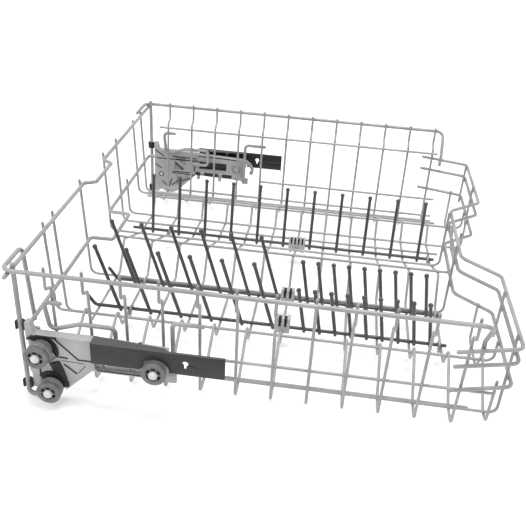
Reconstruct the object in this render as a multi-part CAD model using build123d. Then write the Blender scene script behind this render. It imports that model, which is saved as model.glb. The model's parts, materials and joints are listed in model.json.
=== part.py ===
from build123d import *
import os
from math import atan2, cos, hypot, radians, sin, tan

# Upper dishwasher basket: a welded, coated wire frame with five folding tine rows,
# carried on two height-adjustable roller carriers.
# Frame: +X to the front (recessed handle side), +Y to the right, +Z up, millimetres.
# The origin is under the middle of the basket, at the level of the corner posts' feet.

# Wire gauges, over the coating
CROSS_D = 3.2       # bent cross wires
LONG_D = 3.2        # floor, wall and upright wires
RIM_D = 4.6         # side rims, rear rails, hooks
RAIL_D = 4.2        # three front rails
POST_D = 5.0        # corner posts that guide the carriers
TINE_D = 4.2        # tine rods and tines
TIP_D = 5.8         # ball ends of the tines
SEAT = 0.02         # coating gap between two welded wires

# Bend radii of the wire centrelines
BEND = 6.0
TIGHT_BEND = 4.0
RIM_BEND = 10.0
UPRIGHT_BEND = 9.0

# Basket
DEPTH = 498.6       # rear run of the rims to the front rails
CROSS_PITCH = 37.0
CROSS_COUNT = 12
CROSS_START = 40.1  # rear run of the rims to the first cross wire
POST_DROP = 15.0    # feet of the corner posts below the lowest cross wire runs
FLOOR = POST_DROP + POST_D / 2
RIM_RISE = 137.0    # rims above the lowest cross wire runs
END_RISE = 4.5      # cross wire ends above the rims

# Cross wire section, half widths and heights above its lowest runs
TOP_HALF = 254.0
JOG_IN = 12.0
JOG_TOP = 118.0
JOG_LOW = 113.5
WALL_DRAFT = 7.0
SHELF_WIDTH = 27.0
RIDGE_RUN = 52.0
RIDGE_RISE = 33.5
VALLEY_RUN = 15.0
VALLEY_RISE = 5.0
STEP_Y = -28.0      # foot of the middle ridge
MID_RIDGE_Y = -4.0
MID_RIDGE_RISE = 41.0
TERRACE_Y = 75.0    # flat that carries the rear tine row
TERRACE_END = 106.0
TERRACE_RISE = 9.0
JOG_HALF = TOP_HALF - JOG_IN
FLOOR_HALF = JOG_HALF - WALL_DRAFT
SHELF_HALF = FLOOR_HALF - SHELF_WIDTH
RIDGE_HALF = SHELF_HALF - RIDGE_RUN
VALLEY_HALF = RIDGE_HALF - VALLEY_RUN

# Long wires: where each lies across the basket
LEFT_EDGE_Y = FLOOR_HALF - 21.0
RIGHT_EDGE_Y = FLOOR_HALF - 11.0
VALLEY_WIRE_Y = VALLEY_HALF - 10.0
SLOPE_WIRE_Y = 44.0
TERRACE_WIRE_Y = TERRACE_END - 6.0
RIGHT_SLOPE_Y = SHELF_HALF - 26.0
WALL_MID_RISE = 44.0     # left wall
WALL_LOW_RISE = 21.5
WALL_TOP_RISE = 108.0    # right wall
WALL_FAR_RISE = 35.5
WALL_FOOT_RISE = 8.0
WALL_MID_START = 150.0   # first cross wire to the start of the short wall wires
WALL_MID_OVER = 33.0     # left one past the last cross wire
WALL_TOP_OVER = 6.0      # top one past the last cross wire

# Front rails and their handle recess
RAIL_RISES = {"top": 98.5, "middle": 80.5, "low": 50.0}
RAIL_STUB = 12.0         # stub behind the last cross wire
RAIL_CORNER_IN = 14.0    # how far the corners lie inside the side walls
RECESS_HALF = 62.0
RECESS_MOUTH = 96.0
RECESS_DEPTH = 40.5
RECESS_BEND = 16.0
FRONT_WIRE_GAP = 15.5    # short front cross wires, behind the front rails
UPRIGHT_OVER = 4.5       # upright ends above and below the rail they are welded to
POCKET_DRAFT = 2.5       # foot of a short front cross wire, inside its top

# Rear wall
REAR_LEAN = 3.0          # degrees, the wall leans in towards the floor
REAR_RAIL_RISE = 58.5
REAR_LEG_Y = FLOOR_HALF - 25.0   # the rims wrap the rear corners up to here
RIM_LEG_GAP = 12.6       # front legs of the rims, ahead of the last cross wire
RIM_LEG_END = 92.0
PIPE_EDGE = 3.0          # recess for the machine's water pipe, from the middle wire
PIPE_WIDTH = 75.0
RIM_SLOPE = 8.0          # steps of the rim and the rail, how far they slant
RAIL_SLOPE = 1.0
RIM_RECESS = 13.0
RAIL_RECESS = 28.0
RAIL_END_Y = FLOOR_HALF + 3.0
RAIL_END_STUB = 12.0     # rail ends bent to the front
RIM_OVERHANG = 5.0       # rear rim past the side rims

# Tine rows: rod position, first base, pitch, count, and where the tips lie from the base
FRONT_ROD_Y = -113.5
MIDDLE_ROD_Y = -51.5
REAR_ROD_Y = 82.0
FRONT_LEAN = -2.0        # front tips further to the left than the middle ones
ROD_CLEAR = 0.3          # rods above the cross wires
TINE_TAIL = 4.0
LEVER_RUN = 10.0         # bent-up end of the left rods
LEVER_RISE = 14.0
LEVER_BACK = 8.0         # front lever behind the middle one
ROD_OVER = 4.0           # rods past the outermost cross wires
ROD_END_GAP = 1.0        # rod ends from the middle of the centre clip
LEFT_TINES = {"pitch": 36.7, "count": 6, "tip": (-24.5, -1.8, 82.0)}
RIGHT_TINES = {"pitch": 18.35, "count": 9, "tip": (-9.6, -7.9, 58.5)}
REAR_TINES = {"pitch": 37.45, "count": 11, "tip": (0.0, 10.5, 77.8)}
LEFT_TINE_START = 25.8   # from the first cross wire
RIGHT_TINE_START = 246.8
REAR_TINE_START = 15.3
CLIP_WIRE = 6            # cross wire that carries the centre clips
EYE_WIRES = (1, 11)      # cross wires that carry the rods' eyes

# Centre clips and eyes
CLIP_LENGTH = 17.0
REAR_CLIP_LENGTH = 23.0
CLIP_WIDTH = 11.0
CLIP_OVER = 8.0          # clip above the rod's axis
CLIP_SLOT = 3.0          # two slots in the front clips, four narrow ones in the rear clip
REAR_CLIP_SLOT = 2.2
CLIP_ROOF = 0.8          # wall between the bore and the slots
CLIP_ROUND = 1.5
PRONG_W = 3.0            # prongs under the rear clip
PRONG_DROP = 5.0
CLIP_GAP = 0.4           # clip to the middle wire
BORE_CLEAR = 0.08        # running fit of rods and axles, radial
EYE_FOOT = 8.0

# Roller carriers
ROLLER_D = 25.2
TREAD_D = 24.0
GROOVE_D = 22.6
ROLLER_W = 12.0
FLANGE_W = 3.6
GROOVE_W = 0.9
HUB_D = 9.4
RING_D = 15.4            # inner edge of the roller's rim
RING_DEPTH = 3.0
SPOKES = 6
SPOKE_W = 1.6
AXLE_D = 5.0
CAP_D = 8.8
CAP_H = 1.6
SIDE_CLEAR = 0.3         # roller's ends to the boss and the cap
BOSS_D = 10.0
CARRIER_CLEAR = 0.6      # carriers outside the hooks on the basket's walls
PLATE_T = 4.0            # carrier plate
FACE_T = 4.0             # raised panels on it
BOSS_OVER = 3.0          # roller bosses above the panels
UPPER_AXLE = (-10.4, 47.0)   # (x, z) from the first cross wire and the lowest runs
LOWER_AXLE = (-1.2, 4.0)
MIDDLE_AXLE = (108.5, 45.0)
WELL_R = 16.5            # recess in the panels round the upper roller
LOWER_WELL_R = 13.6
PANEL_END = 44.0
PANEL_TOP = 66.0
BAR_LOW = 27.0
BAR_END = 119.0
LEDGE = 1.6
LEDGE_REACH = 1.6        # ledges past the panels
GROOVE = 1.4
COVER_END = 178.0
COVER_LOW = 45.0
COVER_TOP = 69.5
COVER_REACH = 13.4       # cover's outer face from the plate
COVER_T = 1.6
COVER_GAP = 0.4
COVER_CUT = 2.0          # cover's cut-out round the middle roller
KEYHOLE = (139.0, 58.5)
KEYHOLE_D = 6.0
GUIDE_RISES = (72.0, -1.5)   # post guides, upper and lower
GUIDE_H = 9.0
GUIDE_CLEAR = 0.3
GUIDE_WALL = 2.5
RELEASE_PIVOT = (112.5, 58.0)
RELEASE_T = 3.2
RELEASE_W = 5.0
RELEASE_PIN_D = 4.0
WINDOW_X = (48.0, 92.0)      # window in the bar
WINDOW_RISE = 13.0
WINDOW_DROP = 13.0
BAR_HOLE = (53.0, 32.0)
BAR_HOLE_D = 4.8
BAR_SLOT_X = (79.5, 84.5)
BAR_SLOT_H = 4.0
PEG_XS = (46.5, 81.3)
PEG_W = 4.4
STANDOFF_XS = (60.0, 90.0)
STANDOFF_W = 3.0
INNER_POCKETS = ([(11.0, 25.0), (31.0, 25.0), (11.0, 9.0)], [(8.0, 56.0), (26.0, 56.0), (26.0, 43.0)],
                 [(8.0, 51.0), (8.0, 36.0), (22.0, 36.0), (23.0, 40.0)])
POCKET_DEPTH = 2.0           # pockets between the ribs on the carrier's inner side
RING_POCKET = (8.0, 15.0)    # ring-shaped pocket behind the middle roller
FLANGE_STEP_X = 118.0        # cover's top flange: tapers to here, then a narrow edge
FLANGE_STEP = 7.0
FLANGE_EDGE = 3.0


def contact(d1, d2):
    """Distance between the axes of two wires that are welded together."""
    return (d1 + d2) / 2 + SEAT


REAR_X = -DEPTH / 2 + (RIM_D - RAIL_D) / 4
FRONT_X = REAR_X + DEPTH
FIRST_X = REAR_X + CROSS_START
LAST_X = FIRST_X + CROSS_PITCH * (CROSS_COUNT - 1)
RIM_Z = FLOOR + RIM_RISE
RIM_HALF = TOP_HALF + contact(CROSS_D, RIM_D)
MIDDLE_WIRE_Y = MIDDLE_ROD_Y + CLIP_WIDTH / 2 + CLIP_GAP + LONG_D / 2
FRONT_UPRIGHT_Y = VALLEY_WIRE_Y + LONG_D * 1.5

os.makedirs("parts", exist_ok=True)


def save(name, *solids):
    export_step(Compound(children=list(solids)), f"parts/{name}.step")


def bent_wire(points, diameter, bend=BEND):
    """A round wire along straight runs joined by tangent bends."""
    if len(points) == 2:
        path = Line(*points)
    else:
        path = FilletPolyline(*points, radius=bend)
    return sweep(Plane(path @ 0, z_dir=path % 0) * Circle(diameter / 2), path)


def right_of(solid):
    """The right-hand copy of a left-hand piece."""
    return mirror(solid, about=Plane.XZ)


# Cross wires

def cross_section():
    """Corner points of a cross wire, (y, z), from the left end to the right end."""
    side = [(TOP_HALF, RIM_RISE + END_RISE), (TOP_HALF, JOG_TOP), (JOG_HALF, JOG_LOW),
            (FLOOR_HALF, 0), (SHELF_HALF, 0), (RIDGE_HALF, RIDGE_RISE), (VALLEY_HALF, VALLEY_RISE)]
    middle = [(STEP_Y, VALLEY_RISE), (MID_RIDGE_Y, MID_RIDGE_RISE),
              (TERRACE_Y, TERRACE_RISE), (TERRACE_END, TERRACE_RISE)]
    left = [(-y, z) for y, z in side]
    return [(y, FLOOR + z) for y, z in left + middle + side[::-1]]


SECTION = cross_section()
SECTION_BENDS = [TIGHT_BEND if abs(y) > FLOOR_HALF else BEND for y, z in SECTION[1:-1]]


def cross_x(index):
    return FIRST_X + CROSS_PITCH * index


def wall_y(z):
    """Half width of the cross wires' walls at a height."""
    share = (z - FLOOR) / JOG_LOW
    return FLOOR_HALF + (JOG_HALF - FLOOR_HALF) * share


def seat_on(y, diameter=LONG_D):
    """Axis (y, z) of a long wire welded on top of the cross wires' floor, near y."""
    for (y0, z0), (y1, z1) in zip(SECTION, SECTION[1:]):
        if y0 <= y <= y1 and abs(y0) <= FLOOR_HALF and abs(y1) <= FLOOR_HALF:
            run = hypot(y1 - y0, z1 - z0)
            rise = contact(CROSS_D, diameter)
            z = z0 + (z1 - z0) * (y - y0) / (y1 - y0)
            return y - rise * (z1 - z0) / run, z + rise * (y1 - y0) / run
    raise ValueError("no floor run at this place")


def crown(corner):
    """Centre (y, z) of the bend at a corner of the section, by its place in the list."""
    (ya, za), (yb, zb), (yc, zc) = SECTION[corner - 1:corner + 2]
    a = Vector(ya - yb, za - zb).normalized()
    c = Vector(yc - yb, zc - zb).normalized()
    half = radians(a.get_angle(c)) / 2
    centre = Vector(yb, zb) + (a + c).normalized() * (BEND / sin(half))
    return centre.X, centre.Y


cross_wire = bent_wire([(0, y, z) for y, z in SECTION], CROSS_D, SECTION_BENDS)
for index in range(CROSS_COUNT):
    save(f"cross_wire_{index + 1:02d}", Pos(cross_x(index), 0, 0) * cross_wire)

# Rims

REAR_RIM_Z = RIM_Z - contact(RIM_D, RIM_D)
LEAN = radians(REAR_LEAN)
REAR_RIM_X = REAR_X + contact(RIM_D, RIM_D) * (1 / cos(LEAN) + tan(LEAN))


def upright_x(z, diameter=LONG_D):
    """X of a rear upright's axis, outside the rear rim and leaning in below it."""
    return REAR_RIM_X - contact(RIM_D, diameter) / cos(LEAN) + (REAR_RIM_Z - z) * tan(LEAN)


def rail_half(rise):
    """Half width of a front rail where it passes the last cross wire, both slanting."""
    plan = RAIL_CORNER_IN / (FRONT_X - LAST_X)
    wall = (JOG_HALF - FLOOR_HALF) / JOG_LOW
    return wall_y(FLOOR + rise) + contact(CROSS_D, RAIL_D) * hypot(1, plan, wall)


def rail_side_y(rise, x):
    """Half width of a front rail's slanted side run at X."""
    share = (x - LAST_X) / (FRONT_X - LAST_X)
    return rail_half(rise) - RAIL_CORNER_IN * share


REAR_RAIL_Z = FLOOR + REAR_RAIL_RISE
REAR_RAIL_X = upright_x(REAR_RAIL_Z) + contact(RIM_D, LONG_D) / cos(LEAN)
LEG_X = LAST_X + RIM_LEG_GAP
TOP_RISE = RAIL_RISES["top"]
LEG_Y = rail_side_y(TOP_RISE, LEG_X) - contact(RIM_D, RAIL_D) * 1.03


LEG_TOP = FLOOR + TOP_RISE + RAIL_D * 2
REAR_LEG_Z = REAR_RAIL_Z - UPRIGHT_OVER * 2
RIM_LINE = [(LEG_X, -LEG_Y, FLOOR + RIM_LEG_END), (LEG_X, -LEG_Y, LEG_TOP), (LEG_X, -RIM_HALF, RIM_Z),
            (REAR_X, -RIM_HALF, RIM_Z), (REAR_X, -REAR_LEG_Y, RIM_Z)]
RIM_BENDS = [TIGHT_BEND, RIM_BEND, RIM_BEND]
REAR_LEG = [(upright_x(REAR_LEG_Z, RIM_D), -REAR_LEG_Y, REAR_LEG_Z)]


def rear_run(x, z, half, recess, slope, stub):
    """A rear rail that steps forward round the water pipe; its ends may be bent forward."""
    a = MIDDLE_WIRE_Y + PIPE_EDGE
    b = a + PIPE_WIDTH
    points = [(x, -half, z), (x, a, z), (x + recess, a + slope, z),
              (x + recess, b - slope, z), (x, b, z), (x, half, z)]
    if stub:
        points = [(x + stub, -half, z)] + points + [(x + stub, half, z)]
    return bent_wire(points, RIM_D, TIGHT_BEND)


save("left_rim", bent_wire(RIM_LINE + REAR_LEG, RIM_D, RIM_BENDS + [RIM_BEND]))
save("right_rim", right_of(bent_wire(RIM_LINE, RIM_D, RIM_BENDS)))
save("rear_rim", rear_run(REAR_RIM_X, REAR_RIM_Z, RIM_HALF + RIM_OVERHANG, RIM_RECESS, RIM_SLOPE, 0))
save("rear_rail", rear_run(REAR_RAIL_X, REAR_RAIL_Z, RAIL_END_Y, RAIL_RECESS, RAIL_SLOPE, RAIL_END_STUB))

# Front rails

def front_rail(rise):
    """Front rail: slanted sides, the front and the recess for the hand."""
    z = FLOOR + rise
    stub_x = LAST_X - RAIL_STUB
    corner_y = rail_half(rise) - RAIL_CORNER_IN
    half = [(stub_x, rail_side_y(rise, stub_x), z), (FRONT_X, corner_y, z),
            (FRONT_X, RECESS_MOUTH, z), (FRONT_X - RECESS_DEPTH, RECESS_HALF, z)]
    left = [(x, -y, h) for x, y, h in half]
    bends = [RIM_BEND, RIM_BEND, RECESS_BEND]
    return bent_wire(left + half[::-1], RAIL_D, bends + bends[::-1])


for name, rise in RAIL_RISES.items():
    save(f"front_{name}_rail", front_rail(rise))

UPRIGHT_X = FRONT_X - contact(RAIL_D, LONG_D)
RECESS_X = UPRIGHT_X - RECESS_DEPTH
RAIL_TOP_Z = FLOOR + TOP_RISE + UPRIGHT_OVER
LOW_RISE = RAIL_RISES["low"]
RAIL_LOW_Z = FLOOR + LOW_RISE
FRONT_UPRIGHTS = (-FRONT_UPRIGHT_Y, FRONT_UPRIGHT_Y, LEFT_EDGE_Y)
save("front_uprights", *[bent_wire([(UPRIGHT_X, y, RAIL_LOW_Z - UPRIGHT_OVER), (UPRIGHT_X, y, RAIL_TOP_Z)], LONG_D)
                         for y in FRONT_UPRIGHTS])


def front_cross_wire():
    """Short cross wire of the left front pocket, between the low rail's side and its recess."""
    x = FRONT_X - FRONT_WIRE_GAP
    top = RAIL_LOW_Z + UPRIGHT_OVER
    side_y = rail_side_y(LOW_RISE, x) - contact(CROSS_D, RAIL_D) * 1.03
    slope = atan2(RECESS_MOUTH - RECESS_HALF, RECESS_DEPTH)
    end_y = RECESS_MOUTH - FRONT_WIRE_GAP * tan(slope) + contact(CROSS_D, RAIL_D) / cos(slope)
    floor_half = side_y - POCKET_DRAFT
    corners = [(side_y, top), (side_y, RAIL_LOW_Z - RAIL_D), (floor_half, FLOOR),
               (SHELF_HALF, FLOOR), (RIDGE_HALF, FLOOR + RIDGE_RISE), (VALLEY_HALF, FLOOR + VALLEY_RISE),
               (end_y, FLOOR + VALLEY_RISE), (end_y, top)]
    return bent_wire([(x, -y, z) for y, z in corners], CROSS_D)


save("front_cross_wires", front_cross_wire(), right_of(front_cross_wire()))

# Long wires

FULL_TOP = REAR_RIM_Z + UPRIGHT_OVER
UNDER_RIM_TOP = REAR_RIM_Z + LONG_D / 2
RAIL_TOP = REAR_RAIL_Z + UPRIGHT_OVER


def long_wire(y, z, front_x, front_top, rear_top=FULL_TOP):
    """Rear upright, floor run and front upright of one wire."""
    points = [(upright_x(rear_top), y, rear_top), (upright_x(z), y, z), (front_x, y, z), (front_x, y, front_top)]
    return bent_wire(points, LONG_D, UPRIGHT_BEND)


def blunt_wire(y, z, x1, rear_top=FULL_TOP):
    """Rear upright and a floor run with a plain front end."""
    points = [(upright_x(rear_top), y, rear_top), (upright_x(z), y, z), (x1, y, z)]
    return bent_wire(points, LONG_D, UPRIGHT_BEND)


def hooked_wire(y, z, front_top):
    """A floor run with a plain rear end and a front upright."""
    return bent_wire([(RUN_START, y, z), (UPRIGHT_X, y, z), (UPRIGHT_X, y, front_top)], LONG_D, UPRIGHT_BEND)


def straight_wire(y, z, x0, x1):
    return bent_wire([(x0, y, z), (x1, y, z)], LONG_D)


RUN_START = FIRST_X - RAIL_STUB
RUN_END = LAST_X + RAIL_STUB
low_rail_top = RAIL_LOW_Z + UPRIGHT_OVER

save("edge_wires", hooked_wire(*seat_on(-LEFT_EDGE_Y), RAIL_TOP_Z),
     blunt_wire(*seat_on(RIGHT_EDGE_Y), RUN_END, UNDER_RIM_TOP))

LEFT_RIDGE = SECTION.index((-RIDGE_HALF, FLOOR + RIDGE_RISE))
MID_RIDGE = SECTION.index((MID_RIDGE_Y, FLOOR + MID_RIDGE_RISE))
ridge_y, ridge_centre_z = crown(LEFT_RIDGE)
ridge_z = ridge_centre_z + BEND - contact(CROSS_D, LONG_D)
save("ridge_wires", long_wire(ridge_y, ridge_z, UPRIGHT_X, low_rail_top),
     hooked_wire(-ridge_y, ridge_z, low_rail_top))

save("left_valley_wire", blunt_wire(*seat_on(-VALLEY_WIRE_Y), FRONT_X - FRONT_WIRE_GAP + UPRIGHT_OVER))
save("right_valley_wire", long_wire(*seat_on(VALLEY_WIRE_Y), UPRIGHT_X, low_rail_top, RAIL_TOP))
save("middle_wire", long_wire(*seat_on(MIDDLE_WIRE_Y), RECESS_X, RAIL_TOP_Z))
save("slope_wire", long_wire(*seat_on(SLOPE_WIRE_Y), RECESS_X, RAIL_TOP_Z))

save("terrace_wire", blunt_wire(*seat_on(TERRACE_WIRE_Y), RUN_END))
save("right_slope_wire", blunt_wire(*seat_on(RIGHT_SLOPE_Y), RUN_END, UNDER_RIM_TOP))

mid_y, mid_centre_z = crown(MID_RIDGE)
mid_z = mid_centre_z + BEND + contact(CROSS_D, LONG_D)
save("middle_ridge_wire", straight_wire(mid_y, mid_z, RUN_START, RUN_END))


def wall_wire(rise, x0, x1):
    """A straight wire inside the left wall."""
    z = FLOOR + rise
    return straight_wire(-(wall_y(z) - contact(CROSS_D, LONG_D) * 1.002), z, x0, x1)


short_start = FIRST_X + WALL_MID_START
save("left_wall_wires", wall_wire(WALL_MID_RISE, short_start, LAST_X + WALL_MID_OVER),
     wall_wire(WALL_LOW_RISE, RUN_START, RUN_END))
save("right_wall_wires", right_of(wall_wire(WALL_TOP_RISE, RUN_START, LAST_X + WALL_TOP_OVER)),
     right_of(wall_wire(WALL_FAR_RISE, short_start, RUN_END)),
     right_of(wall_wire(WALL_FOOT_RISE, RUN_START, RUN_END)))

# Corner posts and carrier hooks

POST_X = REAR_RIM_X + contact(RIM_D, POST_D)
POST_Y = RIM_HALF - contact(RIM_D, POST_D)
POST_FOOT = 14.0
HOOK_OVER = 4.0
POST_LOW = FLOOR - POST_DROP
post = bent_wire([(POST_X, -POST_Y, RIM_Z + END_RISE), (POST_X, -POST_Y, POST_LOW),
                  (POST_X + POST_FOOT, -POST_Y, POST_LOW)], POST_D, BEND)
save("corner_posts", post, right_of(post))


def hook(points):
    """A hook wire in the plane of the left wall, welded outside the cross wires."""
    off = contact(CROSS_D, RIM_D) * 1.002
    return bent_wire([(FIRST_X + x, -(wall_y(FLOOR + z) + off), FLOOR + z) for x, z in points], RIM_D, BEND)


lift_loop = hook([(9.0, 97.0), (-8.0, 97.0), (-4.0, 63.0), (27.0, 74.0), (63.0, 74.0), (63.0, 50.0),
                  (CROSS_PITCH - HOOK_OVER, 50.0)])
side_hook = hook([(4 * CROSS_PITCH + HOOK_OVER, 89.5), (121.5, 89.5), (121.5, 33.0),
                  (3 * CROSS_PITCH - HOOK_OVER, 33.0)])
save("lift_loops", lift_loop, right_of(lift_loop))
save("side_hooks", side_hook, right_of(side_hook))

# Tine rows

def rod_z(y):
    """Height of a rod that lies over the cross wires at y."""
    return seat_on(y, TINE_D)[1] + ROD_CLEAR


def tine_row(y, start, tines, x0, x1, lever=False, lean=0.0):
    """A coated rod with its tines; the left rods end in a bent-up lever."""
    z = rod_z(y)
    if lever:
        points = [(x0 - LEVER_RUN, y, z + LEVER_RISE), (x0, y, z), (x1, y, z)]
    else:
        points = [(x0, y, z), (x1, y, z)]
    row = bent_wire(points, TINE_D)
    tip = Vector(*tines["tip"]) + Vector(0, lean, 0)
    tail = tip.normalized() * -TINE_TAIL
    for index in range(tines["count"]):
        base = Vector(FIRST_X + start + tines["pitch"] * index, y, z)
        row += bent_wire([base + tail, base + tip], TINE_D)
        row += Pos(base + tip) * Sphere(TIP_D / 2)
    return row


clip_x = cross_x(CLIP_WIRE)
lever_x = FIRST_X + ROD_OVER
rod_front = LAST_X + ROD_OVER
for name, y, x0, lean in (("front", FRONT_ROD_Y, lever_x - LEVER_BACK, FRONT_LEAN), ("middle", MIDDLE_ROD_Y, lever_x, 0)):
    save(f"{name}_left_tines", tine_row(y, LEFT_TINE_START, LEFT_TINES, x0, clip_x - ROD_END_GAP, True, lean))
    save(f"{name}_right_tines",
         tine_row(y, RIGHT_TINE_START, RIGHT_TINES, clip_x + ROD_END_GAP, rod_front, lean=lean))
save("rear_tines", tine_row(REAR_ROD_Y, REAR_TINE_START, REAR_TINES, FIRST_X - RAIL_STUB, rod_front))


ON_FLOOR = (Align.CENTER, Align.CENTER, Align.MIN)
UNDER = (Align.CENTER, Align.CENTER, Align.MAX)


def centre_clip(y, length, slot, slots):
    """Plastic clip on the middle cross wire, with a bore for the rods and slots between fins."""
    z = rod_z(y)
    wire_z = z - contact(CROSS_D, TINE_D) - ROD_CLEAR
    low = wire_z - CROSS_D / 2
    clip = Pos(clip_x, y, low) * Box(length, CLIP_WIDTH, z + CLIP_OVER - low, align=ON_FLOOR)
    clip = fillet(clip.edges().filter_by(Axis.Z), CLIP_ROUND)
    clip -= Pos(clip_x, y, z) * Rot(0, 90, 0) * Cylinder(TINE_D / 2 + BORE_CLEAR, length)
    clip -= Pos(clip_x, y, wire_z) * Rot(90, 0, 0) * Cylinder(CROSS_D / 2 + SEAT, CLIP_WIDTH)
    clip -= Pos(clip_x, y, wire_z) * Box(CROSS_D + 2 * SEAT, CLIP_WIDTH, CROSS_D, align=UNDER)
    slot_low = z + TINE_D / 2 + BORE_CLEAR + CLIP_ROOF
    pitch = (length + slot) / (slots + 1)
    for index in range(slots):
        x = clip_x + pitch * (index - (slots - 1) / 2)
        clip -= Pos(x, y, slot_low) * Box(slot, CLIP_WIDTH, CLIP_OVER, align=ON_FLOOR)
    return clip


def pronged_clip(y):
    """The rear clip, longer, with two prongs that grip below the cross wire."""
    clip = centre_clip(y, REAR_CLIP_LENGTH, REAR_CLIP_SLOT, 4)
    low = rod_z(y) - contact(CROSS_D, TINE_D) - ROD_CLEAR - CROSS_D / 2
    for side in (-1, 1):
        x = clip_x + side * (REAR_CLIP_LENGTH / 2 - CLIP_ROUND - PRONG_W / 2)
        clip += Pos(x, y, low) * Box(PRONG_W, CLIP_WIDTH - 2 * CLIP_ROUND, PRONG_DROP, align=UNDER)
    return clip


save("centre_clips", centre_clip(FRONT_ROD_Y, CLIP_LENGTH, CLIP_SLOT, 2),
     centre_clip(MIDDLE_ROD_Y, CLIP_LENGTH, CLIP_SLOT, 2), pronged_clip(REAR_ROD_Y))


def rod_eye(x, y):
    """A small wire staple beside a cross wire that holds a rod down."""
    z = rod_z(y)
    wire_z = z - contact(CROSS_D, TINE_D) - ROD_CLEAR
    half = TINE_D / 2 + ROD_CLEAR + CROSS_D / 2
    points = [(-EYE_FOOT, wire_z), (-half, wire_z), (-half, z + half), (half, z + half),
              (half, wire_z), (EYE_FOOT, wire_z)]
    bends = [TIGHT_BEND / 2, half * 0.9, half * 0.9, TIGHT_BEND / 2]
    return bent_wire([(x, y + dy, h) for dy, h in points], CROSS_D, bends)


first_eye, last_eye = EYE_WIRES
eye_xs = (cross_x(first_eye) + contact(CROSS_D, CROSS_D), cross_x(last_eye) - contact(CROSS_D, CROSS_D))
save("rod_eyes", *[rod_eye(x, y) for x in eye_xs for y in (FRONT_ROD_Y, MIDDLE_ROD_Y, REAR_ROD_Y)])

# Roller carriers, drawn for the left side and mirrored

CARRIER_IN = JOG_HALF + contact(CROSS_D, RIM_D) + RIM_D / 2 + CARRIER_CLEAR
PLATE_OUT = CARRIER_IN + PLATE_T
PANEL_OUT = PLATE_OUT + FACE_T
BOSS_OUT = PANEL_OUT + BOSS_OVER
ROLLER_IN = BOSS_OUT + SIDE_CLEAR
ROLLER_OUT = ROLLER_IN + ROLLER_W
COVER_OUT = PLATE_OUT + COVER_REACH
PLATE_REAR = POST_X + POST_D / 2 + GUIDE_CLEAR + GUIDE_WALL + GUIDE_CLEAR - FIRST_X
AXLES = (UPPER_AXLE, LOWER_AXLE, MIDDLE_AXLE)


def slab(outline, inner, outer):
    """A left-hand slab: an (x, z) outline between two half widths."""
    face = make_face(Polyline(*[(FIRST_X + x, FLOOR + z) for x, z in outline], close=True))
    plane = Plane(origin=(0, -inner, 0), x_dir=(1, 0, 0), z_dir=(0, -1, 0))
    return extrude(plane * face, outer - inner)


def disc(place, diameter, inner, outer):
    """A left-hand round along Y, between two half widths."""
    x, z = place
    return Pos(FIRST_X + x, -(inner + outer) / 2, FLOOR + z) * Rot(90, 0, 0) * Cylinder(diameter / 2, outer - inner)


def block(x0, x1, z0, z1, inner, outer):
    return slab([(x0, z0), (x1, z0), (x1, z1), (x0, z1)], inner, outer)


def strip(points, width):
    """Outline of a band of even width along a line of (x, z) points."""
    left, right = [], []
    for index, (x, z) in enumerate(points):
        xa, za = points[max(index - 1, 0)]
        xb, zb = points[min(index + 1, len(points) - 1)]
        run = hypot(xb - xa, zb - za)
        nx, nz = -(zb - za) / run * width / 2, (xb - xa) / run * width / 2
        left.append((x + nx, z + nz))
        right.append((x - nx, z - nz))
    return left + right[::-1]


LOWER_EDGE = [(12.5, -1.0), (5.0, -5.5), (-6.0, -5.5), (-17.0, 2.0)]
GUIDE_TAB = [(-19.0, GUIDE_RISES[1] - GUIDE_H / 2), (PLATE_REAR, GUIDE_RISES[1] - GUIDE_H / 2)]
REAR_EDGE = [(PLATE_REAR, 78.0), (PLATE_REAR + 5, 78.0), (PLATE_REAR + 8.5, PANEL_TOP)]
GROOVES = ([(4.5, 62.5), (27.6, 39.5), (PANEL_END, 39.5)], [(7.5, 40.5), (17.0, 39.8)], [(12.2, 32.0), (25.3, 21.4)])


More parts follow.
